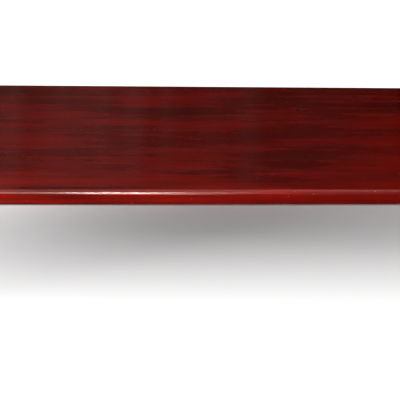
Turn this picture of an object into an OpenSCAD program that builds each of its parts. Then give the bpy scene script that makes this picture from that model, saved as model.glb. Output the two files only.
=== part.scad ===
// Wooden toboggan: a flat deck of tongue-and-groove boards whose fronts are bent up
// into a curl, held together by crosspieces and by a pair of bars at the curl's tip.
//
// Frame, in millimetres: X runs along the toboggan with the curl at -X, Y runs across it,
// Z is up. The origin is on the running surface, in the middle of the overall length.
//
// Deck frame: wherever a piece sits on the deck, flat or bent, it is drawn with x pointing
// towards the tail, y across, and z measured inwards from the running surface.

/* [Overall] */
// Length from the front of the curl to the tail
overall_length = 1500; // [1300:10:2100]
// Width across the deck
deck_width = 400; // [320:5:480]

/* [Deck boards] */
// Number of boards side by side
board_count = 8; // [5:1:9]
// Thickness of every board
deck_thickness = 13; // [10.5:0.5:16]
// Radius of the rounded upper side edges
edge_radius = 4.5; // [1:0.5:5]
// Radius of the eased lower side edges
lower_edge_radius = 1.2; // [0.4:0.2:2]
// Radius of the tail corners, seen from above
tail_corner_radius = 24; // [5:1:26]
// Thickness of the tongue on a board's edge
tongue_thickness = 4; // [3:0.5:5]
// How far the tongue reaches into the next board
tongue_reach = 5; // [3:0.5:6]
// Gap round the tongue in its groove
tongue_clearance = 0.15; // [0.05:0.05:0.4]

/* [Curl] */
// Radius of the gentle first bend, on the running surface
rise_radius = 360; // [250:10:600]
// Angle of the first bend
rise_angle = 30; // [20:1:50]
// Radius of the tight second bend, on the running surface
curl_radius = 135; // [110:5:180]
// Straight length at the tip, under the nose bars
tip_length = 46; // [46:1:60]

/* [Crosspieces] */
// Width of a crosspiece along the toboggan
crosspiece_width = 38; // [32:1:46]
// Height of a crosspiece on the deck
crosspiece_height = 20; // [17:1:26]
// Height of the outer nose bar
nose_bar_outer_height = 16; // [12:1:20]
// Height of the inner nose bar
nose_bar_inner_height = 14; // [12:1:20]
// Radius along the upper edges of the bars
bar_edge_radius = 7; // [3:0.5:8]
// From the deck's rounded edge to the bars' ends
bar_inset = 1.5; // [0:0.5:8]
// From the start of the curl to the middle of the front crosspiece
front_crosspiece_setback = 84; // [40:1:120]
// From the tail to the middle of the tail crosspiece
tail_crosspiece_setback = 38; // [32:1:80]

/* [Rope holes] */
// Diameter of the hand rope holes through the crosspieces
hand_rope_hole = 9; // [7:0.5:10]
// Wood left between an outer bolt and the hand rope hole beside it
hand_rope_wall = 3; // [2:0.5:4]
// Bore of the tow rope eyelets
eyelet_bore = 11; // [9:0.5:13]
// Wall of an eyelet's tube
eyelet_wall = 1; // [0.6:0.1:1.5]
// How far an eyelet's flanges spread round its tube
eyelet_lip = 4; // [2.5:0.5:5]
// Thickness of an eyelet's flanges
eyelet_flange_thickness = 1.2; // [0.8:0.1:2]
// Gap round an eyelet's tube in the wood
eyelet_clearance = 0.25; // [0.1:0.05:0.5]

/* [Fasteners] */
// Diameter of the bolts
bolt_diameter = 5; // [4:0.5:6]
// How far a countersunk head spreads round its bolt
head_overhang = 2.5; // [1.5:0.25:3]
// How far a head lies below the surface it is sunk into
head_recess = 0.4; // [0.2:0.1:0.8]
// Slack round a bolt in the wood
bolt_clearance = 0.25; // [0.1:0.05:0.5]
// How far a washer spreads round its bolt
washer_overhang = 3.5; // [2.5:0.5:5]
// Thickness of the washers
washer_thickness = 1; // [0.6:0.1:1.6]
// Metal between a bolt and the flats of its dome nut
nut_wall = 1.5; // [1:0.25:2.5]
// Height of the hexagon of a dome nut
nut_height = 4; // [3:0.5:6]

/* [Hidden] */

boards = [1:board_count];
// Boards are cut to a whole thousandth, so that neighbours meet exactly
board_width = floor(1000 * deck_width / board_count) / 1000;
deck_side = board_count * board_width / 2;
// The boards that carry the tow rope eyelets instead of a bolt at the tip
eyelet_boards = [2, board_count - 1];
tip_bolt_boards = [for (i = boards) if (i != eyelet_boards[0] && i != eyelet_boards[1]) i];

// The second bend goes on until the tip lies level
curl_angle = 180 - rise_angle;
// The start of the curl, to a tenth, and the centres of its two bends, as [x, z]
curl_reach = rise_radius * sin(rise_angle) + curl_radius * (1 - sin(rise_angle));
curl_start = -round(10 * (overall_length / 2 - curl_reach)) / 10;
rise_centre = [curl_start, rise_radius];
curl_centre = rise_centre - (rise_radius - curl_radius) * [sin(rise_angle), cos(rise_angle)];
tail = overall_length / 2;

front_crosspiece_x = curl_start + front_crosspiece_setback;
tail_crosspiece_x = tail - tail_crosspiece_setback;
middle_crosspiece_x = (front_crosspiece_x + tail_crosspiece_x) / 2;

bar_length = 2 * (deck_side - edge_radius - bar_inset);
// The nose bars are centred on the straight length at the tip
tip_bar_x = -tip_length / 2;

eyelet_tube = eyelet_bore + 2 * eyelet_wall;
eyelet_flange = eyelet_tube + 2 * eyelet_lip;
// The bars stay flat under the eyelets' flanges
bar_radius = min(bar_edge_radius, (crosspiece_width - eyelet_flange) / 2);

bolt_hole_radius = bolt_diameter / 2 + bolt_clearance;
hand_rope_y = board_y(board_count) + bolt_hole_radius + hand_rope_wall + hand_rope_hole / 2;
head_radius = bolt_diameter / 2 + head_overhang;
head_clearance = 0.1;
slot_width = 1.2;
slot_depth = 1.1;
washer_slack = 0.3;
thread_clearance = 0.05;
nut_end_gap = 1;
nut_flats = bolt_diameter + 2 * nut_wall;
nut_corner = nut_flats / cos(30);
dome_radius = nut_flats / 2 - 0.25;
fillet_overlap = 1;

wood = "#6b1a16";
wood_bar = "#5c1512";
brass = "#b58f45";

PLACES = ["front_crosspiece", "middle_crosspiece", "tail_crosspiece", "nose_bar"];

function board_y(i) = (i - (board_count + 1) / 2) * board_width;

$fn = 96;

// ---- Places on the deck ----

// Moves children by v in three steps, wholes, hundredths and the rest, so that no digit is lost
module move(v)
    translate([for (c = v) floor(c)])
        translate([for (c = v) floor(100 * (c - floor(c))) / 100])
            translate([for (c = v) c - floor(c) - floor(100 * (c - floor(c))) / 100])
                children();

// Children drawn in the deck frame go on the flat deck at x
module on_flat(x) translate([x, 0, 0]) children();

// Children drawn in the deck frame go to the start of the straight tip
module on_tip()
    move([curl_centre[0], 0, curl_centre[1]]) rotate([0, 180, 0])
        translate([0, 0, -curl_radius]) children();

// ---- Deck boards ----

// What rounding a corner of radius r takes away, for a corner at the origin of the first quadrant
module corner_waste(r)
    difference() {
        translate([-fillet_overlap, -fillet_overlap]) square(r + fillet_overlap);
        translate([r, r]) circle(r);
    }

// Cross-section of board i: across the deck in x, up from the running surface in y
module board_section(i) {
    left = board_y(i) - board_width / 2;
    right = board_y(i) + board_width / 2;
    tongue_foot = (deck_thickness - tongue_thickness) / 2;
    groove = tongue_thickness + 2 * tongue_clearance;
    difference() {
        union() {
            translate([left, 0]) square([board_width, deck_thickness]);
            if (i < board_count)
                translate([right - 1, tongue_foot]) square([1 + tongue_reach, tongue_thickness]);
        }
        if (i > 1)
            translate([left - 1, (deck_thickness - groove) / 2])
                square([1 + tongue_reach + tongue_clearance, groove]);
        if (i == 1) {
            translate([left, 0]) corner_waste(lower_edge_radius);
            translate([left, deck_thickness]) mirror([0, 1]) corner_waste(edge_radius);
        }
        if (i == board_count) {
            translate([right, 0]) mirror([1, 0]) corner_waste(lower_edge_radius);
            translate([right, deck_thickness]) rotate(180) corner_waste(edge_radius);
        }
    }
}

// A bend of board i, from one angle through another
module board_bend(i, centre, radius, start, sweep)
    move([centre[0], 0, centre[1]]) rotate([-90, 90, 0])
        rotate_extrude(angle = sweep, start = start) translate([radius, 0]) rotate(90) board_section(i);

// A straight length of board i in the deck frame, from x towards the tail
module board_straight(i, x, length)
    translate([x, 0, 0]) rotate([90, 0, 90]) linear_extrude(length) board_section(i);

// The clearance hole and countersink that a bolt needs, from the face its head is sunk into
module bolt_hole(face, top) {
    sunk = head_radius + head_clearance;
    translate([0, 0, face - 1]) cylinder(h = top - face + 2, r = bolt_hole_radius);
    translate([0, 0, face + head_recess])
        cylinder(h = sunk - bolt_hole_radius, r1 = sunk, r2 = bolt_hole_radius);
    translate([0, 0, face - 1]) cylinder(h = 1 + head_recess, r = sunk);
}

// Takes the upper edge off the tail, and rounds its corner on the outer boards
module tail_waste(i) {
    translate([tail, deck_width, deck_thickness]) rotate([90, 0, 0])
        linear_extrude(2 * deck_width) rotate(180) corner_waste(edge_radius);
    if (i == 1 || i == board_count)
        translate([tail, (i == 1 ? -1 : 1) * deck_side, -1])
            linear_extrude(deck_thickness + 2)
                rotate(i == 1 ? 90 : 180) corner_waste(tail_corner_radius);
}

module deck_board(i)
    color(wood) difference() {
        union() {
            board_straight(i, curl_start, tail - curl_start);
            board_bend(i, rise_centre, rise_radius, 0, rise_angle);
            board_bend(i, curl_centre, curl_radius, rise_angle, curl_angle);
            on_tip() board_straight(i, -tip_length, tip_length);
        }
        tail_waste(i);
        for (x = [front_crosspiece_x, middle_crosspiece_x, tail_crosspiece_x])
            on_flat(x) translate([0, board_y(i), 0]) bolt_hole(0, deck_thickness);
        on_tip() translate([tip_bar_x, board_y(i), 0])
            if (i == eyelet_boards[0] || i == eyelet_boards[1])
                eyelet_hole(-1, deck_thickness + 1);
            else
                translate([0, 0, -1]) cylinder(h = deck_thickness + 2, r = bolt_hole_radius);
    }

// ---- Crosspieces and nose bars ----

// Outline of a bar from the side or the end: flat below, both upper corners rounded
module bar_outline(width, height)
    difference() {
        translate([-width / 2, 0]) square([width, height]);
        translate([-width / 2, height]) mirror([0, 1]) corner_waste(bar_radius);
        translate([width / 2, height]) rotate(180) corner_waste(bar_radius);
    }

// A bar lying across the deck on z = 0, with its long edges and its ends rounded
module bar_blank(height)
    intersection() {
        rotate([90, 0, 0]) linear_extrude(bar_length, center = true) bar_outline(crosspiece_width, height);
        rotate([90, 0, 90]) linear_extrude(crosspiece_width + 2, center = true)
            bar_outline(bar_length, height);
    }

module crosspiece(x)
    color(wood_bar) on_flat(x) difference() {
        translate([0, 0, deck_thickness]) bar_blank(crosspiece_height);
        for (i = boards)
            translate([0, board_y(i), deck_thickness - 1])
                cylinder(h = crosspiece_height + 2, r = bolt_hole_radius);
        for (side = [-1, 1])
            translate([0, side * hand_rope_y, deck_thickness + crosspiece_height / 2]) rotate([0, 90, 0])
                cylinder(h = crosspiece_width + 2, d = hand_rope_hole, center = true);
    }

// The bar on the running side of the tip, which takes the bolt heads
module nose_bar_outer()
    color(wood_bar) on_tip() translate([tip_bar_x, 0, 0]) difference() {
        mirror([0, 0, 1]) bar_blank(nose_bar_outer_height);
        for (i = tip_bolt_boards)
            translate([0, board_y(i), 0]) bolt_hole(-nose_bar_outer_height, 1);
        for (i = eyelet_boards)
            translate([0, board_y(i), 0]) eyelet_hole(-nose_bar_outer_height - 1, 1);
    }

// The bar inside the curl, which takes the nuts
module nose_bar_inner()
    color(wood_bar) on_tip() translate([tip_bar_x, 0, 0]) difference() {
        translate([0, 0, deck_thickness]) bar_blank(nose_bar_inner_height);
        for (i = tip_bolt_boards)
            translate([0, board_y(i), deck_thickness - 1])
                cylinder(h = nose_bar_inner_height + 2, r = bolt_hole_radius);
        for (i = eyelet_boards)
            translate([0, board_y(i), 0]) eyelet_hole(deck_thickness - 1, tip_stack_top + 1);
    }

tip_stack_top = deck_thickness + nose_bar_inner_height;

// ---- Fasteners, drawn through a stack from the face with the head to the face with the nut ----

module countersunk_bolt(face, top) {
    head = face + head_recess;
    shank = head + head_overhang / 2;
    tip = top + washer_thickness + nut_height;
    difference() {
        union() {
            translate([0, 0, head]) cylinder(h = head_overhang, r1 = head_radius, r2 = bolt_diameter / 2);
            translate([0, 0, shank]) cylinder(h = tip - shank, d = bolt_diameter);
        }
        translate([-2 * head_radius, -slot_width / 2, head - 1])
            cube([4 * head_radius, slot_width, 1 + slot_depth]);
    }
}

module washer(top)
    translate([0, 0, top]) difference() {
        cylinder(h = washer_thickness, r = bolt_diameter / 2 + washer_overhang);
        translate([0, 0, -1]) cylinder(h = washer_thickness + 2, d = bolt_diameter + washer_slack);
    }

module dome_nut(top)
    translate([0, 0, top + washer_thickness]) difference() {
        union() {
            cylinder(h = nut_height, d = nut_corner, $fn = 6);
            translate([0, 0, nut_height]) sphere(dome_radius);
        }
        translate([0, 0, -nut_flats]) cylinder(h = nut_flats, d = 2 * nut_flats);
        translate([0, 0, -1])
            cylinder(h = 1 + nut_height + nut_end_gap, r = bolt_diameter / 2 + thread_clearance);
    }

// The fasteners of one place: one child per bolted board, at its place in the deck frame
module at_fasteners(place) {
    if (place == "nose_bar")
        on_tip() for (i = tip_bolt_boards) translate([tip_bar_x, board_y(i), 0]) children();
    else
        on_flat(place == "front_crosspiece" ? front_crosspiece_x
                : place == "middle_crosspiece" ? middle_crosspiece_x : tail_crosspiece_x)
            for (i = boards) translate([0, board_y(i), 0]) children();
}

function head_face(place) = place == "nose_bar" ? -nose_bar_outer_height : 0;
function nut_face(place) = place == "nose_bar" ? tip_stack_top : deck_thickness + crosspiece_height;

module bolts(place) color(brass) at_fasteners(place) countersunk_bolt(head_face(place), nut_face(place));
module washers(place) color(brass) at_fasteners(place) washer(nut_face(place));
module nuts(place) color(brass) at_fasteners(place) dome_nut(nut_face(place));

// ---- Tow rope eyelets ----

// The hole an eyelet's tube is pushed into
module eyelet_hole(from, to)
    translate([0, 0, from]) cylinder(h = to - from, r = eyelet_tube / 2 + eyelet_clearance);

// A tube through both nose bars and the deck, with a flange rolled over at each end
module rope_eyelet(board)
    color(brass) on_tip() translate([tip_bar_x, board_y(board), 0]) difference() {
        union() {
            translate([0, 0, -nose_bar_outer_height])
                cylinder(h = tip_stack_top + nose_bar_outer_height, d = eyelet_tube);
            for (z = [-nose_bar_outer_height - eyelet_flange_thickness, tip_stack_top])
                translate([0, 0, z]) cylinder(h = eyelet_flange_thickness, d = eyelet_flange);
        }
        translate([0, 0, -nose_bar_outer_height - eyelet_flange_thickness - 1])
            cylinder(h = tip_stack_top + nose_bar_outer_height + 2 * eyelet_flange_thickness + 2,
                     d = eyelet_bore);
    }

// ---- The pieces, by name ----

for (i = boards) deck_board(i);
crosspiece(front_crosspiece_x);  // front_crosspiece
crosspiece(middle_crosspiece_x);  // middle_crosspiece
crosspiece(tail_crosspiece_x);  // tail_crosspiece
nose_bar_outer();
nose_bar_inner();
for (place = PLACES) {
    bolts(place);
    washers(place);
    nuts(place);
}
rope_eyelet(eyelet_boards[0]);  // left_rope_eyelet
rope_eyelet(eyelet_boards[1]);  // right_rope_eyelet
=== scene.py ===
# %% [markdown]
# # A wooden toboggan
#
# The toboggan is a flat deck of eight narrow boards whose fronts are steamed and bent up
# into a curl. Three crosspieces hold the boards together on the deck, and two bars clamp
# their tips at the end of the curl. The wood is stained a deep red and varnished until it
# shines like a piano; the bolts, washers, nuts and rope eyelets are brass.
#
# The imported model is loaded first. It fixes the size and the place of everything, so each
# piece below is made at the place that its node gives, and nothing is fitted by eye.

# %% Load the fixed frame
import math
from collections import namedtuple

import bmesh
import bpy
from mathutils import Matrix, Vector


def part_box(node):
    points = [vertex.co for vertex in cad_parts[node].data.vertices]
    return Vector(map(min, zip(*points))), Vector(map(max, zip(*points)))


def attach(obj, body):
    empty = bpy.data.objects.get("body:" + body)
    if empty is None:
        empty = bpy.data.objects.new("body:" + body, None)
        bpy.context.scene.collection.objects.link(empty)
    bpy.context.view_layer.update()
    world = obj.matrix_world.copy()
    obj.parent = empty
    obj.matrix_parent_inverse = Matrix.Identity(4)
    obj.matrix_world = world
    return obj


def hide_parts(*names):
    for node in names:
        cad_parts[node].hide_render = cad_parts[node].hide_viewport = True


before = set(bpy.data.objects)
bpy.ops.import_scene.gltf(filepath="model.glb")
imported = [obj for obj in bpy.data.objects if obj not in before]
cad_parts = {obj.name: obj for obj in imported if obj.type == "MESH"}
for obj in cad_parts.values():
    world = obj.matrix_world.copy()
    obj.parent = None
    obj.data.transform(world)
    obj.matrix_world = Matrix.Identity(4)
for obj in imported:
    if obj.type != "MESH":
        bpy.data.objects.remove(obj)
bpy.context.view_layer.update()
scene = bpy.context.scene

# %% [markdown]
# ## Camera
#
# A long lens looks down a little, across the deck between two crosspieces. Both ends of the
# toboggan are outside the view, so all that it shows is the broad shining face and the
# rounded edge. A short lens close by could fill the view with the same stretch, but it would
# splay the sides, and distance is what keeps the near and far edges of the deck almost
# parallel. The camera is made before anything else.

# %% The camera
deck_low, deck_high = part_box("deck_board_1")[0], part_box("deck_board_8")[1]
near_side = deck_low.y

LOOK_AT = Vector((-0.185, near_side, 0.0041))
CAMERA_DISTANCE = 1.594
CAMERA_ELEVATION = math.radians(17)
CAMERA_YAW = math.radians(6.92)
CAMERA_ROLL = math.radians(2.01)
LENS_MM = 160.9

look = Vector((
    math.sin(CAMERA_YAW) * math.cos(CAMERA_ELEVATION),
    math.cos(CAMERA_YAW) * math.cos(CAMERA_ELEVATION),
    -math.sin(CAMERA_ELEVATION),
))
camera = bpy.data.objects.new("camera", bpy.data.cameras.new("camera"))
camera.data.lens = LENS_MM
camera.data.sensor_width = 36
camera.rotation_mode = "QUATERNION"
roll = Matrix.Rotation(CAMERA_ROLL, 3, "Z").to_quaternion()
camera.rotation_quaternion = look.to_track_quat("-Z", "Y") @ roll
camera.location = LOOK_AT - look * CAMERA_DISTANCE
scene.collection.objects.link(camera)
scene.camera = camera
print("the camera stands at", [round(c, 3) for c in camera.location])

# %% [markdown]
# ## Helpers for materials
#
# Every finish here is a small tree of shader nodes. Two helpers are enough to write them:
# one turns a colour as it is picked on a screen into the linear numbers that the renderer
# adds and multiplies, and one adds a node with its settings and links in a single call.

# %% Colours and nodes
MM = 0.001


def linear(hex_colour):
    """An sRGB colour such as "#7a1c12" as linear red, green, blue and alpha."""
    channels = [int(hex_colour[i:i + 2], 16) / 255 for i in (1, 3, 5)]
    return [c / 12.92 if c <= 0.04045 else ((c + 0.055) / 1.055) ** 2.4 for c in channels] + [1.0]


def new_material(name):
    """An empty material and its node tree."""
    material = bpy.data.materials.new(name)
    material.use_nodes = True
    material.node_tree.nodes.clear()
    return material, material.node_tree


def add(tree, kind, inputs=None, **settings):
    """Adds a node. A socket given as an input is linked, and anything else is set as its value."""
    node = tree.nodes.new(kind)
    node.location = (220 * (len(tree.nodes) - 1), 0)
    for name, value in settings.items():
        setattr(node, name, value)
    for name, value in (inputs or {}).items():
        if isinstance(value, bpy.types.NodeSocket):
            tree.links.new(value, node.inputs[name])
        else:
            node.inputs[name].default_value = value
    return node


print("pure mid grey is", [round(c, 3) for c in linear("#808080")])

# %% [markdown]
# ## Varnished wood
#
# The boards are a close-grained hardwood such as cherry or mahogany, wiped with a deep red
# stain and then given many coats of gloss varnish. Three things reach the eye. The stain is
# taken up unevenly, so broad clouds and narrow flames of brighter red lie along the grain. It
# gathers in the pores and leaves fine darker streaks. And the varnish on top is a clear,
# almost flat sheet that mirrors the room, with a little orange peel and a few specks of dust
# that dried into it. So the wood is a dull base under a clear coat, and only the coat gets
# the orange peel. The specks are drawn over the stain. So are faint pale streaks along the
# grain, which are a painted sheen: the varnish's pinkish shine painted into the colour.
#
# The grain has to follow the boards round the curl, so it is driven by an attribute that every
# board carries, which measures along the board, across the deck and into its thickness as if
# the board had never been bent. The clouds were wiped on after the boards were joined, so they
# follow the whole toboggan instead.

# %% One layer of the stain
NOISE_RANGE = (0.3, 0.7)  # nearly all the values of a noise lie between these
PEAK_RANGE = (0.54, 0.76)  # only its peaks reach these


def streaks(tree, place, length, width, detail, swing, only_up=False):
    """Noise drawn out along the grain, as a tone that swings both ways or only up."""
    drawn = add(tree, "ShaderNodeMapping", {"Vector": place, "Scale": (1 / length, 1 / width, 1 / width)})
    noise = add(tree, "ShaderNodeTexNoise", {"Vector": drawn.outputs[0], "Scale": 1.0, "Detail": detail})
    lowest, highest = PEAK_RANGE if only_up else NOISE_RANGE
    return add(tree, "ShaderNodeMapRange", {
        "Value": noise.outputs[0],
        "From Min": lowest,
        "From Max": highest,
        "To Min": 0.0 if only_up else -swing,
        "To Max": swing,
    }).outputs[0]


# %% The colour of the stained wood
STAIN = {"deep": "#4c0604", "body": "#7c0f08", "bright": "#a4140b"}
DEEP_AT, BODY_AT, BRIGHT_AT = 0.05, 0.5, 0.95


def stained(tree, grain, spot, darker):
    """All the layers added up to one tone, which picks a colour between the stain's three."""
    layers = [
        streaks(tree, grain, 1500 * MM, 1500 * MM, 0.0, 0.12),  # each board's own plank
        streaks(tree, spot, 160 * MM, 55 * MM, 1.0, 0.24),  # clouds in the stain
        streaks(tree, grain, 140 * MM, 24 * MM, 1.0, 0.14),  # soft figure of the growth rings
        streaks(tree, grain, 80 * MM, 10 * MM, 1.0, 0.28, only_up=True),  # a few bright flames
        streaks(tree, grain, 45 * MM, 3.5 * MM, 2.0, 0.04),  # pores, coarser than life so that they show
        streaks(tree, grain, 12 * MM, 0.8 * MM, 2.0, 0.04),  # single fibres
    ]
    tone = BODY_AT - darker
    for layer in layers:
        tone = add(tree, "ShaderNodeMath", {0: layer, 1: tone}, operation="ADD").outputs[0]
    colour = add(tree, "ShaderNodeValToRGB", {"Fac": tone})
    ramp = colour.color_ramp.elements
    ramp[0].position, ramp[0].color = DEEP_AT, linear(STAIN["deep"])
    ramp[1].position, ramp[1].color = BRIGHT_AT, linear(STAIN["bright"])
    ramp.new(BODY_AT).color = linear(STAIN["body"])
    return colour.outputs[0]


# %% Dust in the varnish
# The pale colour of the dust specks, which also paints the pale streaks of painted sheen.
DUST_AND_SHEEN = "#d09a8c"
SPECK_SPACING = 5 * MM
SPECK_RADIUS = 0.25 * MM
SPECK_FADE = 0.3 * MM
DUSTY_PATCH = 45 * MM
DUSTY_RANGE = (0.47, 0.53)  # no specks below this stretch of the patches, and all of them above


def dried_dust(tree, spot):
    """Where specks of dust dried into the varnish: one dot a cell, gathered in patches."""
    cells = add(tree, "ShaderNodeTexVoronoi", {"Vector": spot, "Scale": 1 / SPECK_SPACING})
    speck = add(tree, "ShaderNodeMapRange", {
        "Value": cells.outputs["Distance"],
        "From Min": SPECK_RADIUS / SPECK_SPACING,
        "From Max": (SPECK_RADIUS + SPECK_FADE) / SPECK_SPACING,
        "To Min": 1.0,
        "To Max": 0.0,
    }, interpolation_type="SMOOTHSTEP")
    patch = add(tree, "ShaderNodeTexNoise", {"Vector": spot, "Scale": 1 / DUSTY_PATCH, "Detail": 1.0})
    clean, full = DUSTY_RANGE
    dusty = add(tree, "ShaderNodeMapRange",
                {"Value": patch.outputs[0], "From Min": clean, "From Max": full})
    return add(tree, "ShaderNodeMath", {0: speck.outputs[0], 1: dusty.outputs[0]},
               operation="MULTIPLY").outputs[0]


# %% The skin of the varnish
PEEL_WAVE, PEEL_DEPTH = 5 * MM, 0.012 * MM
RIPPLE_WAVE, RIPPLE_DEPTH = 1.8 * MM, 0.014 * MM
SPECK_HEIGHT = 0.12 * MM


def varnish_skin(tree, spot, dust):
    """The way the varnish faces: slow waves of orange peel, a finer ripple, and the specks."""
    peel = add(tree, "ShaderNodeTexNoise", {"Vector": spot, "Scale": 1 / PEEL_WAVE, "Detail": 2.0})
    ripple = add(tree, "ShaderNodeTexNoise", {"Vector": spot, "Scale": 1 / RIPPLE_WAVE, "Detail": 1.0})
    skin = add(tree, "ShaderNodeBump",
               {"Height": peel.outputs[0], "Strength": 1.0, "Distance": PEEL_DEPTH})
    for height, depth in ((ripple.outputs[0], RIPPLE_DEPTH), (dust, SPECK_HEIGHT)):
        skin = add(tree, "ShaderNodeBump",
                   {"Height": height, "Strength": 1.0, "Distance": depth, "Normal": skin.outputs[0]})
    return skin.outputs[0]


# %% The wood's finish
# A painted sheen: pale streaks along the grain, lighter where the varnish would shine.
SHEEN_STREAK_LENGTH, SHEEN_STREAK_WIDTH = 120 * MM, 5 * MM
PAINTED_SHEEN_SWING = 0.035


def varnished_wood(name, darker=0.0):
    """Stained hardwood under gloss varnish, with its grain along the "grain" attribute's x."""
    material, tree = new_material(name)
    grain = add(tree, "ShaderNodeAttribute", attribute_name="grain").outputs["Vector"]
    spot = add(tree, "ShaderNodeTexCoord").outputs["Object"]

    # The specks of dust, and pale streaks along the grain that are a painted sheen, lie over the
    # stain. A mix of colours has its factor in socket 0 and the two colours in 6 and 7.
    dust = dried_dust(tree, spot)
    # Painted sheen: pale streaks along the grain, mixed into the colour in the dust's tint.
    painted_sheen = streaks(tree, grain, SHEEN_STREAK_LENGTH, SHEEN_STREAK_WIDTH, 1.0, PAINTED_SHEEN_SWING, only_up=True)
    dust_and_painted_sheen = add(tree, "ShaderNodeMath", {0: dust, 1: painted_sheen}, operation="ADD", use_clamp=True)
    seen = add(tree, "ShaderNodeMix", {
        0: dust_and_painted_sheen.outputs[0],
        6: stained(tree, grain, spot, darker),
        7: linear(DUST_AND_SHEEN),
    }, data_type="RGBA")
    surface = add(tree, "ShaderNodeBsdfPrincipled", {
        "Base Color": seen.outputs[2],
        "Roughness": 0.45,
        "IOR": 1.45,
        "Specular IOR Level": 0.04,
        "Coat Weight": 1.0,
        "Coat IOR": 1.5,
        "Coat Roughness": 0.075,
        "Coat Normal": varnish_skin(tree, spot, dust),
    })
    add(tree, "ShaderNodeOutputMaterial", {"Surface": surface.outputs[0]})
    return material


deck_finish = varnished_wood("red stained hardwood, gloss varnish")
bar_finish = varnished_wood("red stained hardwood battens, gloss varnish", darker=0.08)
print("made", deck_finish.name, "and", bar_finish.name)

# %% [markdown]
# ## Brass
#
# The bolts, washers and nuts are turned brass and the eyelets are rolled from brass tube.
# Brass left outdoors loses its mirror shine first and then goes a little brown, most of all
# where hands and snow do not rub it. A metal's colour sits in its reflection, so the tree is
# one metallic shader whose colour and roughness both drift over a few millimetres.

# %% The brass finish
BRASS = {"browned": "#8a6530", "rubbed": "#d3b068"}
BROWNED_AT, RUBBED_AT = 0.32, 0.62
BROWNED_ROUGHNESS, RUBBED_ROUGHNESS = 0.42, 0.2
BLOTCH_SIZE = 6 * MM
SCRATCH_SIZE, SCRATCH_DEPTH = 0.5 * MM, 0.01 * MM


def dulled_brass(name):
    """Turned brass that weather has dulled, browner and rougher in blotches."""
    material, tree = new_material(name)
    spot = add(tree, "ShaderNodeTexCoord").outputs["Object"]
    blotch = add(tree, "ShaderNodeTexNoise", {"Vector": spot, "Scale": 1 / BLOTCH_SIZE, "Detail": 4.0})
    colour = add(tree, "ShaderNodeValToRGB", {"Fac": blotch.outputs[0]})
    ramp = colour.color_ramp.elements
    ramp[0].position, ramp[0].color = BROWNED_AT, linear(BRASS["browned"])
    ramp[1].position, ramp[1].color = RUBBED_AT, linear(BRASS["rubbed"])
    rough = add(tree, "ShaderNodeMapRange", {
        "Value": blotch.outputs[0],
        "From Min": NOISE_RANGE[0],
        "From Max": NOISE_RANGE[1],
        "To Min": BROWNED_ROUGHNESS,
        "To Max": RUBBED_ROUGHNESS,
    })
    scratch = add(tree, "ShaderNodeTexNoise", {"Vector": spot, "Scale": 1 / SCRATCH_SIZE, "Detail": 2.0})
    bump = add(tree, "ShaderNodeBump",
               {"Height": scratch.outputs[0], "Strength": 1.0, "Distance": SCRATCH_DEPTH})
    surface = add(tree, "ShaderNodeBsdfPrincipled", {
        "Base Color": colour.outputs[0],
        "Metallic": 1.0,
        "Roughness": rough.outputs[0],
        "Normal": bump.outputs[0],
    })
    add(tree, "ShaderNodeOutputMaterial", {"Surface": surface.outputs[0]})
    return material


brass_finish = dulled_brass("dulled brass")
print("made", brass_finish.name)

# %% [markdown]
# ## The path of the curl
#
# A board runs flat from the tail, rises on a gentle bend, turns over on a tight one and
# ends in a short level tip. The same few radii and angles that bend the boards also unroll
# them again, which is how each point finds its place along the grain.

# %% The curl's measures, and how to unroll a point
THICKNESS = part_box("front_crosspiece")[0].z  # a crosspiece lies on the deck
RISE_RADIUS = 0.360
RISE_ANGLE = math.radians(30)
CURL_RADIUS = 0.135
CURL_ANGLE = math.pi - RISE_ANGLE
TIP_LENGTH = 0.046

front, tail = deck_low.x, deck_high.x
curl_start = front + RISE_RADIUS * math.sin(RISE_ANGLE) + CURL_RADIUS * (1 - math.sin(RISE_ANGLE))
rise_centre = Vector((curl_start, 0, RISE_RADIUS))
bend_offset = RISE_RADIUS - CURL_RADIUS
curl_centre = rise_centre - bend_offset * Vector((math.sin(RISE_ANGLE), 0, math.cos(RISE_ANGLE)))
rise_length = RISE_RADIUS * RISE_ANGLE
curl_length = CURL_RADIUS * CURL_ANGLE


def unrolled(point):
    """Distance along the board from the start of the curl, place across, height in the board."""
    # On the flat deck
    if point.x >= curl_start and point.z < 2 * THICKNESS:
        return Vector((point.x - curl_start, point.y, point.z))

    # On the gentle bend
    spoke = point - rise_centre
    angle = math.atan2(-spoke.x, -spoke.z)
    if 0 <= angle <= RISE_ANGLE and point.z < rise_centre.z:
        return Vector((-RISE_RADIUS * angle, point.y, RISE_RADIUS - math.hypot(spoke.x, spoke.z)))

    # On the tight bend
    spoke = point - curl_centre
    angle = math.atan2(-spoke.x, -spoke.z)
    if point.x <= curl_centre.x:
        along = -rise_length - CURL_RADIUS * (angle - RISE_ANGLE)
        return Vector((along, point.y, CURL_RADIUS - math.hypot(spoke.x, spoke.z)))

    # On the level tip
    along = -rise_length - curl_length - spoke.x
    return Vector((along, point.y, CURL_RADIUS - spoke.z))


print("the curl starts at", round(curl_start, 4), "and its tight bend is centred on",
      [round(c, 4) for c in curl_centre])


# %% [markdown]
# ## Drilling, turning and finishing
#
# Three jobs come back for every piece. Holes are cut by a Boolean, which needs a closed
# shape to take away, and its result is kept as the piece's own mesh so that no cutter is
# left in the scene. Whatever comes off a lathe on the real thing, such as a washer, is a
# profile spun round its axis here, and so is the shape of each drill. Finishing a mesh means
# merging doubles, turning the faces outwards and marking the creases, so that curved faces
# shade smoothly and flat ones stay flat.

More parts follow.
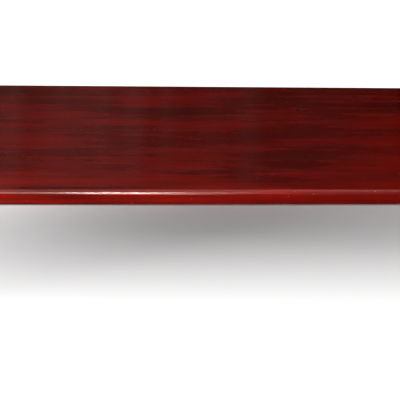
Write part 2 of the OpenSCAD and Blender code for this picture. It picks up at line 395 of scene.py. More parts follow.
# %% Cutting and joining by Boolean
def combined(mesh, tool_bm, operation):
    """The mesh after a Boolean with the closed shapes in a bmesh, which is used up."""
    bmesh.ops.recalc_face_normals(tool_bm, faces=tool_bm.faces)
    tool_mesh = bpy.data.meshes.new("tool")
    tool_bm.to_mesh(tool_mesh)
    tool_bm.free()
    tool = bpy.data.objects.new("tool", tool_mesh)
    work = bpy.data.objects.new("work", mesh)
    scene.collection.objects.link(tool)
    scene.collection.objects.link(work)
    boolean = work.modifiers.new("boolean", "BOOLEAN")
    boolean.operation = operation
    boolean.solver = "EXACT"
    boolean.object = tool
    graph = bpy.context.evaluated_depsgraph_get()
    result = bpy.data.meshes.new_from_object(work.evaluated_get(graph))
    bpy.data.objects.remove(work)
    bpy.data.objects.remove(tool)
    bpy.data.meshes.remove(tool_mesh)
    return result


# %% Turning a profile on a lathe
UP, DOWN = Vector((0, 0, 1)), Vector((0, 0, -1))
LATHE_MERGE = 1e-7  # points of one turning that are closer than this become one


def turned(bm, profile, at, along=UP, steps=32, ring=False):
    """Spins (radius, height) points round a line through a place. A ring's profile is a loop."""
    before = set(bm.verts)
    turn = along.to_track_quat("Z", "Y")
    points = [bm.verts.new(at + turn @ Vector((radius, 0, height))) for radius, height in profile]
    ends = points[1:] + points[:1] if ring else points[1:]
    edges = [bm.edges.new(pair) for pair in zip(points, ends)]
    bmesh.ops.spin(bm, geom=points + edges, cent=at, axis=along, angle=2 * math.pi, steps=steps,
                   use_merge=True, use_duplicate=False)
    made = [v for v in bm.verts if v not in before]
    bmesh.ops.remove_doubles(bm, verts=made, dist=LATHE_MERGE)


def rounding(radius, height, size, start, stop, steps=5):
    """Points of a round corner of a profile, about a centre, from one angle to another."""
    turns = [math.radians(start + (stop - start) * k / steps) for k in range(steps + 1)]
    return [(radius + size * math.cos(turn), height + size * math.sin(turn)) for turn in turns]


# %% Rounding edges, and finishing a piece
NEAR = 1e-5  # two measures that differ by less than this are the same
SHELL_MERGE = 1e-6  # any points of a piece that are closer than this become one
CREASE_ANGLE = math.radians(32)


def rounded(bm, edges, radius, segments):
    """Rolls a radius along edges."""
    bmesh.ops.bevel(bm, geom=edges, offset=radius, offset_type="OFFSET", segments=segments,
                    profile=0.5, affect="EDGES", material=-1, clamp_overlap=False)


def shell(bm, name):
    """A bmesh, with its doubles merged and its faces outwards, as a mesh."""
    bmesh.ops.remove_doubles(bm, verts=bm.verts, dist=SHELL_MERGE)
    bmesh.ops.recalc_face_normals(bm, faces=bm.faces)
    mesh = bpy.data.meshes.new(name)
    bm.to_mesh(mesh)
    bm.free()
    return mesh


pieces = []


def finish_piece(mesh, material, replaced, grain=None):
    """Makes a mesh a finished piece at the origin, which stands for a node of the frame."""
    mesh.shade_smooth()
    mesh.set_sharp_from_angle(angle=CREASE_ANGLE)
    if grain:
        attribute = mesh.attributes.new("grain", "FLOAT_VECTOR", "POINT")
        for vertex, value in zip(mesh.vertices, attribute.data):
            value.vector = grain(vertex.co)
    piece = bpy.data.objects.new(mesh.name, mesh)
    scene.collection.objects.link(piece)
    flat_faces = piece.modifiers.new("flat faces stay flat", "WEIGHTED_NORMAL")
    flat_faces.keep_sharp = True
    mesh.materials.clear()
    mesh.materials.append(material)
    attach(piece, "root")
    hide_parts(replaced)
    pieces.append(piece)
    print(piece.name, "has", len(mesh.polygons), "faces")


# %% [markdown]
# ## Where the fasteners go
#
# A bolt passes through each board at each crosspiece, from a countersunk head in the running
# face to a dome nut on top of the crosspiece. At the tip the pair of bars is bolted the same
# way from outside to inside, except on the two boards that carry the tow rope's eyelets. The
# places are read from the frame's boxes and kept together, because the drills and the
# fasteners both follow them.

# %% The measures and places of the fasteners
BOARD_COUNT = 8
EYELET_BOARDS = (2, BOARD_COUNT - 1)
board_width = (deck_high.y - deck_low.y) / BOARD_COUNT


def board_middle(i):
    """How far board i's middle is from the deck's middle line."""
    return (i - (BOARD_COUNT + 1) / 2) * board_width


def middle_x(node):
    """The middle of a node's box along the deck."""
    low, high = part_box(node)
    return (low.x + high.x) / 2


ALL_BOARDS = range(1, BOARD_COUNT + 1)
BOLTED_AT_TIP = [i for i in ALL_BOARDS if i not in EYELET_BOARDS]
CROSSPIECES = ("front_crosspiece", "middle_crosspiece", "tail_crosspiece")

# A stack's place is on the face with the bolts' heads, and its depth is from there to the washers
Stack = namedtuple("Stack", "place along depth boards")
stacks = {}
for name in CROSSPIECES:
    stacks[name] = Stack(Vector((middle_x(name), 0, 0)), UP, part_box(name)[1].z, ALL_BOARDS)
tip_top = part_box("nose_bar_outer")[1].z
tip_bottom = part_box("nose_bar_inner")[0].z
tip_height = tip_top - tip_bottom
tip_place = Vector((middle_x("nose_bar_outer"), 0, tip_top))
stacks["nose_bar"] = Stack(tip_place, DOWN, tip_height, BOLTED_AT_TIP)

BOLT_RADIUS = 2.5 * MM
HOLE_RADIUS = 2.75 * MM
HEAD_RADIUS = 5.0 * MM
HEAD_RECESS = 0.4 * MM
HEAD_CLEARANCE = 0.1 * MM
EYELET_BORE_RADIUS = 5.5 * MM
EYELET_TUBE_RADIUS = 6.5 * MM
EYELET_HOLE_RADIUS = 6.75 * MM
ROPE_HOLE_RADIUS = 4.5 * MM
ROPE_HOLE_WALL = 3 * MM
SPARE = 1 * MM  # how far a drill or a joined shape reaches past a face


def on_board(place, i):
    """A stack's place, moved across to board i."""
    return place + Vector((0, board_middle(i), 0))


print({name: round(stack.depth, 4) for name, stack in stacks.items()})


# %% The shapes of the drills
def drill(bm, place, along, depth, radius):
    """A plain drill, which reaches past both faces."""
    turned(bm, [(0, -SPARE), (radius, -SPARE), (radius, depth + SPARE), (0, depth + SPARE)], place, along)


def countersink(bm, place, along, depth):
    """A bolt's drill with the countersink for its head."""
    mouth = HEAD_RADIUS + HEAD_CLEARANCE
    turned(bm, [
        (0, -SPARE), (mouth, -SPARE), (mouth, HEAD_RECESS),
        (HOLE_RADIUS, HEAD_RECESS + mouth - HOLE_RADIUS),
        (HOLE_RADIUS, depth + SPARE), (0, depth + SPARE),
    ], place, along)


# %% [markdown]
# ## Deck boards
#
# Each board starts as one small face, the shape of its sawn end, and is drawn out along its
# path: straight for the deck, turned about the centre of each bend, and straight again for
# the tip. That is what extruding and spinning do, and it keeps the faces in neat rows. The
# outer boards then get their long upper edge rounded over and the lower one eased, and the
# tail gets its corners and its upper edge rounded. The joints between boards have their edges
# just broken, which shows them as fine lines. The holes for the bolts are cut last.

# %% Measures of the boards
EDGE_RADIUS = 4.5 * MM
LOWER_EDGE_RADIUS = 1.2 * MM
TAIL_CORNER_RADIUS = 24 * MM
TONGUE_THICKNESS = 4 * MM
TONGUE_REACH = 5 * MM
TONGUE_CLEARANCE = 0.15 * MM
BROKEN_EDGE = 0.06 * MM


def board_end(bm, i):
    """The face of board i's sawn end, at the tail, with its tongue and its groove."""
    left, right = board_middle(i) - board_width / 2, board_middle(i) + board_width / 2
    low, high = (THICKNESS - TONGUE_THICKNESS) / 2, (THICKNESS + TONGUE_THICKNESS) / 2
    broken = THICKNESS - BROKEN_EDGE
    outline = [(left, 0), (right, 0)]
    if i < BOARD_COUNT:
        tip = right + TONGUE_REACH
        outline += [(right, low), (tip, low), (tip, high), (right, high)]
        outline += [(right, broken), (right - BROKEN_EDGE, THICKNESS)]
    else:
        outline += [(right, THICKNESS)]
    if i > 1:
        floor = left + TONGUE_REACH + TONGUE_CLEARANCE
        low, high = low - TONGUE_CLEARANCE, high + TONGUE_CLEARANCE
        outline += [(left + BROKEN_EDGE, THICKNESS), (left, broken)]
        outline += [(left, high), (floor, high), (floor, low), (left, low)]
    else:
        outline += [(left, THICKNESS)]
    return bm.faces.new([bm.verts.new((tail, y, z)) for y, z in outline])


# %% Drawing a board out along its path
def drawn_out(bm, end, step, keep_end=False):
    """Extrudes the end face by a straight step and returns the new end face."""
    result = bmesh.ops.extrude_face_region(bm, geom=[end])["geom"]
    bmesh.ops.translate(bm, verts=[g for g in result if isinstance(g, bmesh.types.BMVert)], vec=step)
    if not keep_end:
        bmesh.ops.delete(bm, geom=[end], context="FACES_ONLY")
    return next(g for g in result if isinstance(g, bmesh.types.BMFace))


def bent(bm, end, centre, angle, steps):
    """Turns the end face about a centre and returns the new end face."""
    result = bmesh.ops.spin(bm, geom=[end], cent=centre, axis=(0, 1, 0), angle=angle, steps=steps,
                            use_duplicate=False, use_merge=False)["geom_last"]
    bmesh.ops.delete(bm, geom=[end], context="FACES_ONLY")
    return next(g for g in result if isinstance(g, bmesh.types.BMFace))


RISE_STEPS = 24
CURL_STEPS = 72


def bent_board(i):
    """Board i with square edges, from the tail to the tip."""
    bm = bmesh.new()
    end = drawn_out(bm, board_end(bm, i), Vector((curl_start - tail, 0, 0)), keep_end=True)
    end = bent(bm, end, rise_centre, RISE_ANGLE, RISE_STEPS)
    end = bent(bm, end, curl_centre, CURL_ANGLE, CURL_STEPS)
    drawn_out(bm, end, Vector((TIP_LENGTH, 0, 0)))
    bmesh.ops.recalc_face_normals(bm, faces=bm.faces)
    return bm


# %% Rounding a board's edges
deck_length = tail - curl_start


def on_rim(p, side):
    """Whether an unrolled place lies on an outer board's side, the tail or the corner between."""
    if side is not None and abs(p.y - side) < NEAR:
        return True
    if abs(p.x - deck_length) < NEAR:
        return True
    if side is None or p.x < deck_length - TAIL_CORNER_RADIUS - NEAR:
        return False
    hub_y = side - math.copysign(TAIL_CORNER_RADIUS, side)
    hub_x = deck_length - TAIL_CORNER_RADIUS
    return abs(math.hypot(p.x - hub_x, p.y - hub_y) - TAIL_CORNER_RADIUS) < NEAR


def rim_edges(bm, height, side):
    """The edges of the rim at one height above the running face."""
    found = []
    for edge in bm.edges:
        places = [unrolled(v.co) for v in edge.verts]
        if all(abs(p.z - height) < NEAR and on_rim(p, side) for p in places):
            found.append(edge)
    return found


def round_board(bm, i):
    """Rounds the tail's corner and upper edge, and an outer board's long edges."""
    side = {1: deck_low.y, BOARD_COUNT: deck_high.y}.get(i)
    if side is not None:
        corner = [e for e in bm.edges if all(
            abs(v.co.x - tail) < NEAR and abs(v.co.y - side) < NEAR for v in e.verts)]
        rounded(bm, corner, TAIL_CORNER_RADIUS, segments=16)
    rounded(bm, rim_edges(bm, THICKNESS, side), EDGE_RADIUS, segments=10)
    if side is not None:
        rounded(bm, rim_edges(bm, 0.0, side), LOWER_EDGE_RADIUS, segments=4)


# %% The eight boards
GRAIN_STEP = 3.7  # each board's grain starts this much further on, so it breaks at every joint


def along_board(i):
    """Where a point lies along the grain of board i."""
    start = Vector((GRAIN_STEP * i, 0, 0))
    return lambda co: unrolled(co) + start


def board_drills(i):
    """The drills for one board: three countersinks, and the hole at its tip."""
    bm = bmesh.new()
    for name in CROSSPIECES:
        stack = stacks[name]
        countersink(bm, on_board(stack.place, i), stack.along, stack.depth)
    tip_radius = EYELET_HOLE_RADIUS if i in EYELET_BOARDS else HOLE_RADIUS
    drill(bm, on_board(tip_place, i), DOWN, tip_height, tip_radius)
    return bm


for i in ALL_BOARDS:
    bm = bent_board(i)
    round_board(bm, i)
    mesh = combined(shell(bm, f"bent_board_{i}"), board_drills(i), "DIFFERENCE")
    mesh.name = f"bent_board_{i}"
    finish_piece(mesh, deck_finish, f"deck_board_{i}", grain=along_board(i))

# %% [markdown]
# ## Crosspieces and nose bars
#
# These are short planed battens of the same wood, rounded over on the side that hands and
# knees meet and flat where they are clamped. Each is a box whose four outer edges get one
# bevel, and the drills go through it. A crosspiece also has a hole near each end for the
# hand rope, whose mouths are rounded so that they don't chafe it.

# %% The battens
BATTEN_RADIUS = 7 * MM
ROPE_MOUTH = 1.3 * MM
CROSSPIECE_GRAIN, NOSE_BAR_GRAIN = 11, 15  # where the grain of the first of each starts


def batten(node, outer_height):
    """A box as large as the node, rounded along the edges of the face at one height."""
    low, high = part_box(node)
    bm = bmesh.new()
    bmesh.ops.create_cube(bm, size=1)
    bmesh.ops.scale(bm, vec=high - low, verts=bm.verts)
    bmesh.ops.translate(bm, vec=(low + high) / 2, verts=bm.verts)
    outer = [e for e in bm.edges if all(abs(v.co.z - outer_height) < NEAR for v in e.verts)]
    rounded(bm, outer, BATTEN_RADIUS, segments=10)
    return bm


def rope_drill(bm, place, depth):
    """The hand rope's drill along X, flared at both ends into round mouths."""
    wide = ROPE_HOLE_RADIUS + ROPE_MOUTH
    near = rounding(wide, ROPE_MOUTH, ROPE_MOUTH, 270, 180)
    far = rounding(wide, depth - ROPE_MOUTH, ROPE_MOUTH, 180, 90)
    profile = [(0, -SPARE), (wide, -SPARE)] + near + far + [(wide, depth + SPARE), (0, depth + SPARE)]
    turned(bm, profile, place, Vector((1, 0, 0)), steps=40)


def along_batten(start):
    """Where a point lies along the grain of a batten, which runs across the deck."""
    return lambda co: Vector((co.y + start, co.x, co.z))


# %% The three crosspieces
rope_hole_y = board_middle(BOARD_COUNT) + HOLE_RADIUS + ROPE_HOLE_WALL + ROPE_HOLE_RADIUS
for start, name in enumerate(CROSSPIECES, start=CROSSPIECE_GRAIN):
    stack = stacks[name]
    low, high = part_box(name)
    drills = bmesh.new()
    for i in stack.boards:
        drill(drills, on_board(stack.place, i), stack.along, stack.depth, HOLE_RADIUS)
    for side in (-1, 1):
        rope_place = Vector((low.x, side * rope_hole_y, (low.z + high.z) / 2))
        rope_drill(drills, rope_place, high.x - low.x)
    mesh = combined(shell(batten(name, high.z), name), drills, "DIFFERENCE")
    mesh.name = "planed_" + name
    finish_piece(mesh, bar_finish, name, grain=along_batten(start))

# %% The two nose bars
outer_faces = {"nose_bar_outer": tip_top, "nose_bar_inner": tip_bottom}
for start, (name, outer_height) in enumerate(outer_faces.items(), start=NOSE_BAR_GRAIN):
    drills = bmesh.new()
    for i in BOLTED_AT_TIP:
        countersink(drills, on_board(tip_place, i), DOWN, tip_height)
    for i in EYELET_BOARDS:
        drill(drills, on_board(tip_place, i), DOWN, tip_height, EYELET_HOLE_RADIUS)
    mesh = combined(shell(batten(name, outer_height), name), drills, "DIFFERENCE")
    mesh.name = "planed_" + name
    finish_piece(mesh, bar_finish, name, grain=along_batten(start))

# %% [markdown]
# ## Bolts, washers and dome nuts
#
# All of these are small brass turnings, so each is a profile spun round its axis. A bolt's
# head also gets a screwdriver slot, cut by a box. A dome nut is a hexagon with its corners
# knocked off, joined to a round cap and bored for the bolt, which leaves it one solid.

# %% Bolts
SLOT_WIDTH = 1.2 * MM
SLOT_DEPTH = 1.1 * MM
WASHER_THICKNESS = 1 * MM
NUT_HEIGHT = 4 * MM
SMALL_ROUND = 0.25 * MM


def bolt(bm, place, along, depth):
    """A countersunk bolt whose thread ends inside its dome nut."""
    low = HEAD_RECESS
    end = depth + WASHER_THICKNESS + NUT_HEIGHT
    rim = rounding(HEAD_RADIUS - SMALL_ROUND, low + SMALL_ROUND, SMALL_ROUND, 270, 360, steps=3)
    shank = [(BOLT_RADIUS, low + HEAD_RADIUS - BOLT_RADIUS), (BOLT_RADIUS, end - SMALL_ROUND)]
    turned(bm, [(0, low)] + rim + shank + [(BOLT_RADIUS - SMALL_ROUND, end), (0, end)], place, along)


def slot_cutter(bm, place, along):
    """A box across a bolt's head, longer than the head is wide and half sunk into it."""
    box = bmesh.ops.create_cube(bm, size=1)["verts"]
    bmesh.ops.scale(bm, vec=(3 * HEAD_RADIUS, SLOT_WIDTH, 2 * SLOT_DEPTH), verts=box)
    bmesh.ops.translate(bm, vec=place + along * HEAD_RECESS, verts=box)


# %% Washers and dome nuts
WASHER_RADIUS = 6 * MM
WASHER_BORE_RADIUS = 2.65 * MM
NUT_FLATS = 8 * MM
DOME_RADIUS = 3.75 * MM
NUT_BORE_RADIUS = 2.55 * MM
NUT_END_GAP = 1 * MM
NUT_CORNER_CUT = 0.55 * MM


def washer(bm, place, along, depth):
    """A flat ring with rounded outer edges."""
    top = depth + WASHER_THICKNESS
    rim = WASHER_RADIUS - SMALL_ROUND
    lower = rounding(rim, depth + SMALL_ROUND, SMALL_ROUND, 270, 360, steps=3)
    upper = rounding(rim, top - SMALL_ROUND, SMALL_ROUND, 0, 90, steps=3)
    inside = [(WASHER_BORE_RADIUS + SMALL_ROUND, top), (WASHER_BORE_RADIUS, top - SMALL_ROUND)]
    turned(bm, [(WASHER_BORE_RADIUS, depth)] + lower + upper + inside, place, along, ring=True)


def hexagon(bm, place, along, depth):
    """The six-sided part of a dome nut, with its twelve corners cut off."""
    corner_radius = NUT_FLATS / math.sqrt(3)
    made = bmesh.ops.create_cone(bm, segments=6, radius1=corner_radius, radius2=corner_radius,
                                 depth=NUT_HEIGHT, cap_ends=True)["verts"]
    middle = depth + WASHER_THICKNESS + NUT_HEIGHT / 2
    flats_to_the_sides = Matrix.Rotation(math.radians(30), 3, "Z")
    bmesh.ops.rotate(bm, cent=(0, 0, 0), matrix=flats_to_the_sides, verts=made)
    bmesh.ops.translate(bm, vec=place + along * middle, verts=made)
    bmesh.ops.bevel(bm, geom=made, offset=NUT_CORNER_CUT, offset_type="OFFSET", segments=1,
                    profile=0.5, affect="VERTICES", material=-1)


def dome(bm, place, along, depth):
    """The round cap of a dome nut, which starts inside the hexagon."""
    base = depth + WASHER_THICKNESS + NUT_HEIGHT
    cap = rounding(0, base, DOME_RADIUS, 0, 90, steps=10)[:-1] + [(0, base + DOME_RADIUS)]
    turned(bm, [(0, base - SPARE), (DOME_RADIUS, base - SPARE)] + cap, place, along, steps=36)


def nut_bore(bm, place, along, depth):
    """What is bored out of a dome nut."""
    start = depth + WASHER_THICKNESS - SPARE
    end = depth + WASHER_THICKNESS + NUT_HEIGHT + NUT_END_GAP
    turned(bm, [(0, start), (NUT_BORE_RADIUS, start), (NUT_BORE_RADIUS, end), (0, end)], place, along)


# %% One set of each at every crosspiece and at the tip
def at_each_board(stack, shape):
    """The bmesh of one shape at every bolted board of a stack."""
    bm = bmesh.new()
    for i in stack.boards:
        shape(bm, on_board(stack.place, i), stack.along, stack.depth)
    return bm


for name, stack in stacks.items():
    slots = at_each_board(stack, lambda bm, place, along, depth: slot_cutter(bm, place, along))
    mesh = combined(shell(at_each_board(stack, bolt), name), slots, "DIFFERENCE")
    mesh.name = f"turned_{name}_bolts"
    finish_piece(mesh, brass_finish, f"{name}_bolts")

    mesh = shell(at_each_board(stack, washer), f"turned_{name}_washers")
    finish_piece(mesh, brass_finish, f"{name}_washers")

    mesh = combined(shell(at_each_board(stack, hexagon), name), at_each_board(stack, dome), "UNION")
    mesh = combined(mesh, at_each_board(stack, nut_bore), "DIFFERENCE")
    mesh.name = f"turned_{name}_nuts"
    finish_piece(mesh, brass_finish, f"{name}_nuts")

# %% [markdown]
# ## Tow rope eyelets
#
# An eyelet is a brass tube pushed through the bars and the board between them, with both ends
# rolled over into flanges. The roll is what keeps the rope from fraying, so the profile
# follows it: a round mouth inside and a half round rim outside.

# %% The two eyelets
FLANGE_RADIUS = 10.5 * MM
FLANGE_THICKNESS = 1.2 * MM


def rolled_flange(height, outwards):
    """Profile points of one flange, from the bore to the tube, on a bar's face at a height."""
    half = FLANGE_THICKNESS / 2
    mouth = rounding(EYELET_BORE_RADIUS + FLANGE_THICKNESS, 0, FLANGE_THICKNESS, 180, 270, steps=8)
    rim = rounding(FLANGE_RADIUS - half, -half, half, 270, 450, steps=10)
    return [(radius, height - outwards * up) for radius, up in mouth + rim + [(EYELET_TUBE_RADIUS, 0)]]


for side, i in zip(("left", "right"), EYELET_BOARDS):
    bm = bmesh.new()
    profile = rolled_flange(0, -1) + rolled_flange(tip_height, 1)[::-1]
    turned(bm, profile, on_board(tip_place, i), DOWN, steps=64, ring=True)
    mesh = shell(bm, f"rolled_{side}_rope_eyelet")
    finish_piece(mesh, brass_finish, f"{side}_rope_eyelet")

# %% [markdown]
# ## The floor
#
# The toboggan rests on a floor painted matt white, which takes its shadow. It could be a
# curved backdrop, but a flat plane so wide that its edge is never seen works from every side.
# It is hidden from reflections, because a white floor mirrored in the front face would wash
# the red out to pink.

# %% The floor
FLOOR_SIZE = 60
floor_bm = bmesh.new()
bmesh.ops.create_grid(floor_bm, x_segments=1, y_segments=1, size=FLOOR_SIZE / 2)
floor_mesh = bpy.data.meshes.new("floor")
floor_bm.to_mesh(floor_mesh)
floor_bm.free()
floor = bpy.data.objects.new("floor", floor_mesh)
scene.collection.objects.link(floor)
floor.visible_glossy = False

floor_paint, tree = new_material("matt white floor paint")
chalk = add(tree, "ShaderNodeBsdfPrincipled",
            {"Base Color": linear("#e8e8e8"), "Roughness": 0.9, "Specular IOR Level": 0.1})
add(tree, "ShaderNodeOutputMaterial", {"Surface": chalk.outputs[0]})
floor_mesh.materials.append(floor_paint)
print("the floor is", FLOOR_SIZE, "m across")

# %% [markdown]
# ## Which light falls on what
#
# A glossy thing on a white floor asks for two kinds of light at once. The floor wants one
# broad light from above, and the varnish wants panels at the places that its edges mirror.
# One set of lamps could serve both, but then a brighter highlight would also mean a brighter
# floor. Blender can keep them apart: every lamp may be told which objects it lights and which
# objects shade it, and both are given as collections.

# %% Groups for the lamps
def group_of(name, members):
    """A collection that a lamp can be told to light, or to be shaded by."""
    made = bpy.data.collections.new(name)
    for member in members:
        made.objects.link(member)
    return made


everything = group_of("the whole toboggan", pieces)
only_boards = group_of("the boards", [p for p in pieces if p.name.startswith("bent_board")])
only_brass = group_of("the brass", [p for p in pieces if p.data.materials[0] == brass_finish])
only_floor = group_of("the floor", [floor])


# %% A lamp
def lamp(name, kind, at, towards, power, lights, shaded_by, colour="#ffffff", **settings):
    """A lamp that the camera doesn't see, which lights one collection and is shaded by another."""
    light = bpy.data.lights.new(name, kind)
    light.energy = power
    light.color = linear(colour)[:3]
    for key, value in settings.items():
        setattr(light, key, value)
    thing = bpy.data.objects.new(name, light)
    thing.location = at
    thing.rotation_mode = "QUATERNION"
    thing.rotation_quaternion = (Vector(towards) - Vector(at)).to_track_quat("-Z", "Y")
    thing.visible_camera = False
    thing.light_linking.receiver_collection = lights
    thing.light_linking.blocker_collection = shaded_by
    scene.collection.objects.link(thing)
    return thing


# %% [markdown]
# ## The floor's lamp
#
# The floor is lit by a soft sun straight overhead. Its shadow round a flat deck would be thin
# and even, and a broad one along the near side sets the toboggan off better. So a card hangs
# above that side, which no ray sees and which shades only the floor. It slopes up towards the
# tail, so its shadow is softer there.

# %% A card that nothing sees
def hidden_card(name, corners):
    """A flat card that no ray sees, and that shades only what a lamp is told that it shades."""
    bm = bmesh.new()
    bm.faces.new([bm.verts.new(corner) for corner in corners])
    mesh = bpy.data.meshes.new(name)
    bm.to_mesh(mesh)
    bm.free()
    card = bpy.data.objects.new(name, mesh)
    scene.collection.objects.link(card)
    for ray in ("camera", "diffuse", "glossy", "transmission", "volume_scatter"):
        setattr(card, "visible_" + ray, False)
    return card


# %% The floor lamp and its shade
SUN_ANGLE = math.radians(60)
SUN_STRENGTH = 5.1
SHADE_CORNERS = ((-0.53, -0.38), (0.89, -0.335), (0.73, -0.075), (-0.23, -0.075))
SHADE_HEIGHT = 0.426
SHADE_SLOPE = 0.36
shade = hidden_card("shade", [(x, y, SHADE_HEIGHT + SHADE_SLOPE * x) for x, y in SHADE_CORNERS])
over_floor = group_of("what shades the floor", pieces + [shade])
lamp("floor lamp", "SUN", (0, 0, 4), (0, 0, 0), SUN_STRENGTH, only_floor, over_floor, angle=SUN_ANGLE)
print("the shade has", len(SHADE_CORNERS), "corners")

# %% [markdown]
# ## Panels that are only mirrored
#
# A highlight is the mirror image of a lamp, so its shape is the lamp's shape. The long edge
# of the deck turns from facing up to facing forwards within a few millimetres, and so it
# mirrors everything between the ceiling and the floor as one thin line. A small bright box
# makes the hottest stretch of that line, larger and dimmer panels behind it make it fade out
# at both ends, and a wide ceiling makes the faint line above it. They are hidden from diffuse
# rays, so that they don't also light the wood. Brass mirrors everything, and a dark room would
# make it look brown, so it has three panels of its own.
#
# Two things keep the panels from showing elsewhere. They are oval and fade towards their rims,
# because a hard corner or edge would show in the curl. And a flag, which is what a studio calls
# a card that keeps a lamp off something, stands along the deck's near edge: from behind it,
# the flat of the deck can't see the bright panels.

# %% The flag
FLAG_GAP = 10 * MM
FLAG_FOOT = THICKNESS + 13 * MM
FLAG_TOP = 0.55
flag_y = near_side - FLAG_GAP
flag_corners = ((curl_start, FLAG_FOOT), (tail, FLAG_FOOT), (tail, FLAG_TOP), (curl_start, FLAG_TOP))
flag = hidden_card("flag", [(x, flag_y, z) for x, z in flag_corners])
flagged = group_of("what shades the bright panels", pieces + [flag])
print("the flag stands", FLAG_GAP, "m off the deck and reaches up to", FLAG_TOP, "m")

# %% An oval lamp, and one that is only mirrored
MIDDLE = (0, 0, 0)
NEAR_EDGE = (-0.2, near_side, 0)
LAMP_RIM = 0.5  # an area lamp's own square is 1 wide both ways, so its rim is half that away


def fade_rim(light, solid):
    """Fades an oval lamp from this part of the way out to its rim."""
    light.use_nodes = True
    tree = light.node_tree
    tree.nodes.clear()
    place = add(tree, "ShaderNodeNewGeometry").outputs["Parametric"]
    spoke = add(tree, "ShaderNodeVectorMath", {0: place, 1: (LAMP_RIM, LAMP_RIM, 0)},
                operation="SUBTRACT")
    away = add(tree, "ShaderNodeVectorMath", {0: spoke.outputs[0]}, operation="LENGTH").outputs["Value"]
    fade = add(tree, "ShaderNodeMapRange", {
        "Value": away,
        "From Min": solid * LAMP_RIM,
        "From Max": LAMP_RIM,
        "To Min": 1.0,
        "To Max": 0.0,
    }, interpolation_type="SMOOTHSTEP")
    glow = add(tree, "ShaderNodeEmission", {"Strength": fade.outputs[0]})
    add(tree, "ShaderNodeOutputLight", {"Surface": glow.outputs[0]})


def toboggan_lamp(name, at, towards, power, size, colour="#ffffff", lights=everything,
                  shaded_by=everything, **settings):
    """An oval lamp for the toboggan."""
    return lamp(name, "AREA", at, towards, power, lights, shaded_by, colour,
                shape="ELLIPSE", size=size[0], size_y=size[1], **settings)


def panel(name, at, towards, power, size, colour="#ffffff", lights=everything,
          shaded_by=everything, solid=0.6):
    """An oval lamp with a soft rim that is only mirrored."""
    made = toboggan_lamp(name, at, towards, power, size, colour, lights, shaded_by)
    made.visible_diffuse = False
    fade_rim(made.data, solid)


# %% Panels for the varnish and the brass
bright = {"lights": only_boards, "shaded_by": flagged}
panel("key box", (-0.12, -1.78, 1.17), NEAR_EDGE, 19, (0.275, 0.45), "#fff2e8", **bright)
panel("key glow", (-0.15, -1.80, 1.18), NEAR_EDGE, 9.4, (0.775, 0.575), "#ffdcc8", **bright)
panel("key halo", (-0.22, -1.82, 1.50), NEAR_EDGE, 8.6, (1.0, 1.6), "#ffd2c4", **bright)
panel("low glow", (-0.10, -1.75, 0.28), NEAR_EDGE, 4.1, (0.325, 0.55), "#ffd2c4", **bright)
panel("tall panel", (-0.25, -2.1, 1.0), NEAR_EDGE, 6.2, (2.2, 1.9), "#ffd8d0", solid=0.4)
panel("ceiling", (-0.2, 0, 2.6), (-0.2, 0, 0), 99, (6.0, 6.0), "#ffd8d0", solid=0.2)

panel("brass, behind", (0, 2.6, 1.6), MIDDLE, 22, (3.7, 2.5), lights=only_brass)
panel("brass, ahead", (-2.8, 0, 1.4), MIDDLE, 19, (3.0, 2.5), lights=only_brass)
panel("brass, astern", (2.8, 0, 1.4), MIDDLE, 19, (3.0, 2.5), lights=only_brass)
print("there are", sum(light.type == "AREA" for light in bpy.data.lights), "panels")

# %% [markdown]
# ## Lamps for the wood
#
# Under the varnish the stain is lit softly from above, and a little from ahead and behind so
# that no side of the curl goes black. One low lamp rakes the front face from the curl's end,
# which makes that face redder there. These lamps are hidden from mirror rays, so that no oval
# shows in the deck when it is seen from above or from behind.

# %% Lamps for the wood
def wood_lamp(name, at, towards, power, size, colour="#ffffff", **settings):
    """An oval lamp that lights the wood and isn't seen in the varnish."""
    made = toboggan_lamp(name, at, towards, power, size, colour, **settings)
    made.visible_glossy = False


wood_lamp("low side", (-0.75, -0.6, 0.12), (-0.1, -0.2, 0), 1.1, (0.2, 0.1), "#fff0e4",
          spread=math.radians(80))
wood_lamp("over the curl", (-0.36, -0.32, 0.8), (-0.36, -0.32, 0), 3.0, (0.6, 0.5), "#fff2e8")
wood_lamp("over the tail", (0.75, -0.1, 0.9), (0.75, -0.1, 0), 1.6, (0.5, 0.5), spread=math.radians(60))
wood_lamp("overhead", (0, 0.2, 2.6), MIDDLE, 7, (2.5, 2.5))
wood_lamp("ahead of the curl", (-2.2, -0.5, 0.9), (-0.6, 0, 0.15), 8, (0.8, 0.8))
wood_lamp("behind", (0.3, 2.2, 1.3), (0.2, 0.2, 0), 5, (1.2, 0.5))
print("there are", len(bpy.data.lights), "lamps")

# %% [markdown]
# ## The room
#
# Seen at a low angle, the broad top face mirrors whatever stands far behind it, and there even
# clear varnish mirrors strongly. A plain grey world would lay an even veil over the deck. A
# picture of a real room would do it best, but that would be one more file, so the room is
# worked out from the direction alone: a few windows round it that swell and fade, with the
# folds of a curtain in them. The camera itself sees plain white behind the floor.

# %% The windows round the room
WINDOWS_ROUND_ROOM = 5
BRIGHTEST_AT = -0.25
DIM, BRIGHT = 0.004, 0.075
WALL_BELOW = -0.8  # the part of the wave below this is all wall

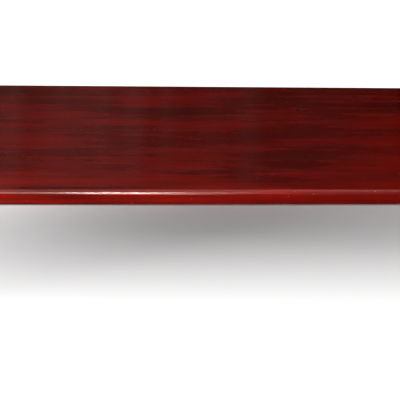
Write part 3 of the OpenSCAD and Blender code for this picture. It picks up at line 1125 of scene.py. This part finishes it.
world = bpy.data.worlds.new("room")
scene.world = world
world.use_nodes = True
tree = world.node_tree
tree.nodes.clear()
way = add(tree, "ShaderNodeTexCoord").outputs["Generated"]
part = add(tree, "ShaderNodeSeparateXYZ", {0: way})
heading = add(tree, "ShaderNodeMath", {0: part.outputs["X"], 1: part.outputs["Y"]}, operation="ARCTAN2")
turned_to = add(tree, "ShaderNodeMath", {0: heading.outputs[0], 1: -BRIGHTEST_AT}, operation="ADD")
around = add(tree, "ShaderNodeMath", {0: turned_to.outputs[0], 1: WINDOWS_ROUND_ROOM},
             operation="MULTIPLY")
wave = add(tree, "ShaderNodeMath", {0: around.outputs[0]}, operation="COSINE")
window_light = add(tree, "ShaderNodeMapRange", {
    "Value": wave.outputs[0], "From Min": WALL_BELOW, "From Max": 1.0, "To Min": DIM, "To Max": BRIGHT,
})
print(WINDOWS_ROUND_ROOM, "windows, the first at", BRIGHTEST_AT, "radians from straight behind")

# %% The curtain's folds, and white for the camera
FOLD_WIDTH = 0.012  # in radians round the room
FOLD_BREAKS = 3  # how often the folds change between the horizon and straight above
FOLD_RANGE = (0.35, 0.65)
FOLD_DEPTH = 0.8
ROOM_LIGHT = "#ffe0d8"

folds_at = add(tree, "ShaderNodeCombineXYZ", {"X": heading.outputs[0], "Y": part.outputs["Z"]})
drawn = add(tree, "ShaderNodeMapping",
            {"Vector": folds_at.outputs[0], "Scale": (1 / FOLD_WIDTH, FOLD_BREAKS, 1)})
folds = add(tree, "ShaderNodeTexNoise", {"Vector": drawn.outputs[0], "Scale": 1.0, "Detail": 2.0})
fold_light = add(tree, "ShaderNodeMapRange", {
    "Value": folds.outputs[0],
    "From Min": FOLD_RANGE[0],
    "From Max": FOLD_RANGE[1],
    "To Min": 1 - FOLD_DEPTH,
    "To Max": 1 + FOLD_DEPTH,
})
strength = add(tree, "ShaderNodeMath", {0: window_light.outputs[0], 1: fold_light.outputs[0]},
               operation="MULTIPLY")
room = add(tree, "ShaderNodeBackground", {"Color": linear(ROOM_LIGHT), "Strength": strength.outputs[0]})
white = add(tree, "ShaderNodeBackground", {"Color": linear("#ffffff"), "Strength": 1.0})
camera_sees = add(tree, "ShaderNodeLightPath").outputs["Is Camera Ray"]
mix = add(tree, "ShaderNodeMixShader", {0: camera_sees, 1: room.outputs[0], 2: white.outputs[0]})
add(tree, "ShaderNodeOutputWorld", {"Surface": mix.outputs[0]})
scene.view_settings.view_transform = "Standard"
scene.view_settings.look = "None"
print("the room's light is", ROOM_LIGHT)
